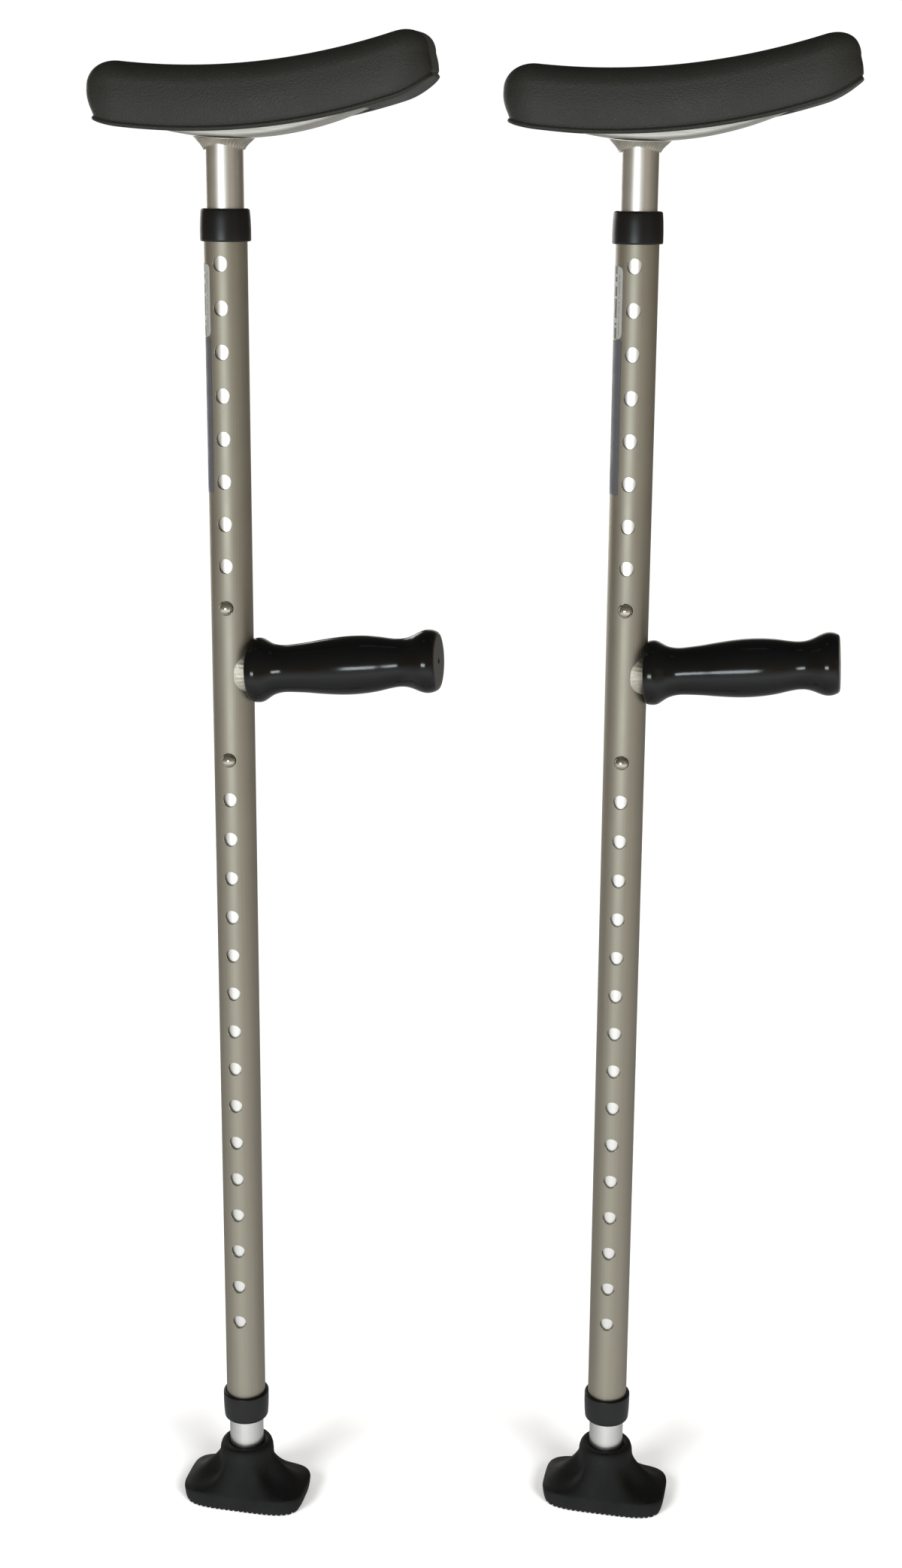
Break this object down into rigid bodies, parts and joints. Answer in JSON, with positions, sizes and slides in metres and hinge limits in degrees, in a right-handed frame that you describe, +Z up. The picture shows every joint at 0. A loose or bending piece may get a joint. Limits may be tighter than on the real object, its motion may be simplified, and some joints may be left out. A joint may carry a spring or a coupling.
{
  "type": "underarm crutches",
  "caption": "Telescoping aluminium underarm crutches, each with a curved armpit pad, a moulded side handgrip, spring-button height adjustment and a winged rubber foot.",
  "frame": {"origin": "centre of the left crutch's sole, where its post's axis meets the ground", "axes": "+Z up along both posts, +X the way both handgrips stick out, -Y the side that the adjusting holes face"},
  "size_m": [0.4431, 0.0962, 0.9427],
  "materials": {
    "champagne_tube": "satin",
    "bright_tube": "satin",
    "saddle_metal": "satin",
    "weld_metal": "satin",
    "bright_steel": "polished",
    "collar_plastic": "satin",
    "grip_vinyl": "gloss",
    "foot_rubber": "matte",
    "pad_rubber": "matte",
    "white_label": "satin",
    "blue_label": "satin"
  },
  "bodies": {
    "left_leg": {"left_lower_tube": "bright_tube", "left_foot_tip": "foot_rubber", "left_foot_washer": "bright_steel", "left_lower_spring": "bright_steel"},
    "left_leg_button": {"left_lower_button": "bright_steel"},
    "left_frame": {"left_main_tube": "champagne_tube", "left_upper_collar": "collar_plastic", "left_lower_collar": "collar_plastic", "left_size_label": "white_label", "left_strip_label": "blue_label", "left_handle_stub": "bright_tube", "left_handle_weld": "weld_metal", "left_hand_grip": "grip_vinyl"},
    "left_post": {"left_upper_tube": "bright_tube", "left_armrest_saddle": "saddle_metal", "left_armrest_weld": "weld_metal", "left_underarm_pad": "pad_rubber", "left_upper_spring": "bright_steel"},
    "left_post_button": {"left_upper_button": "bright_steel"},
    "right_leg": {"right_lower_tube": "bright_tube", "right_foot_tip": "foot_rubber", "right_foot_washer": "bright_steel", "right_lower_spring": "bright_steel"},
    "right_leg_button": {"right_lower_button": "bright_steel"},
    "right_frame": {"right_main_tube": "champagne_tube", "right_upper_collar": "collar_plastic", "right_lower_collar": "collar_plastic", "right_size_label": "white_label", "right_strip_label": "blue_label", "right_handle_stub": "bright_tube", "right_handle_weld": "weld_metal", "right_hand_grip": "grip_vinyl"},
    "right_post": {"right_upper_tube": "bright_tube", "right_armrest_saddle": "saddle_metal", "right_armrest_weld": "weld_metal", "right_underarm_pad": "pad_rubber", "right_upper_spring": "bright_steel"},
    "right_post_button": {"right_upper_button": "bright_steel"}
  },
  "joints": [
    {"name": "left_leg_slide", "type": "slide", "parent": "left_leg", "child": "left_frame", "axis": [0, 0, 1], "range_m": [0, 0.381], "deforming": ["left_lower_button"]},
    {"name": "left_post_slide", "type": "slide", "parent": "left_frame", "child": "left_post", "axis": [0, 0, 1], "range_m": [0, 0.2032], "deforming": ["left_upper_button"]},
    {"name": "left_leg_button_press", "type": "slide", "parent": "left_leg", "child": "left_leg_button", "axis": [0, 1, 0], "range_m": [0, 0.0048], "stiffness_N_per_m": 800, "springref_m": -0.006, "deforming": ["left_lower_spring"]},
    {"name": "left_post_button_press", "type": "slide", "parent": "left_post", "child": "left_post_button", "axis": [0, 1, 0], "range_m": [0, 0.0048], "stiffness_N_per_m": 800, "springref_m": -0.006, "deforming": ["left_upper_spring"]},
    {"name": "right_leg_slide", "type": "slide", "parent": "right_leg", "child": "right_frame", "axis": [0, 0, 1], "range_m": [0, 0.381], "deforming": ["right_lower_button"]},
    {"name": "right_post_slide", "type": "slide", "parent": "right_frame", "child": "right_post", "axis": [0, 0, 1], "range_m": [0, 0.2032], "deforming": ["right_upper_button"]},
    {"name": "right_leg_button_press", "type": "slide", "parent": "right_leg", "child": "right_leg_button", "axis": [0, 1, 0], "range_m": [0, 0.0048], "stiffness_N_per_m": 800, "springref_m": -0.006, "deforming": ["right_lower_spring"]},
    {"name": "right_post_button_press", "type": "slide", "parent": "right_post", "child": "right_post_button", "axis": [0, 1, 0], "range_m": [0, 0.0048], "stiffness_N_per_m": 800, "springref_m": -0.006, "deforming": ["right_upper_spring"]},
    {"name": "crutch_spacing", "type": "slide", "parent": "left_leg", "child": "right_leg", "axis": [1, 0, 0], "range_m": [0, 0.3]}
  ]
}
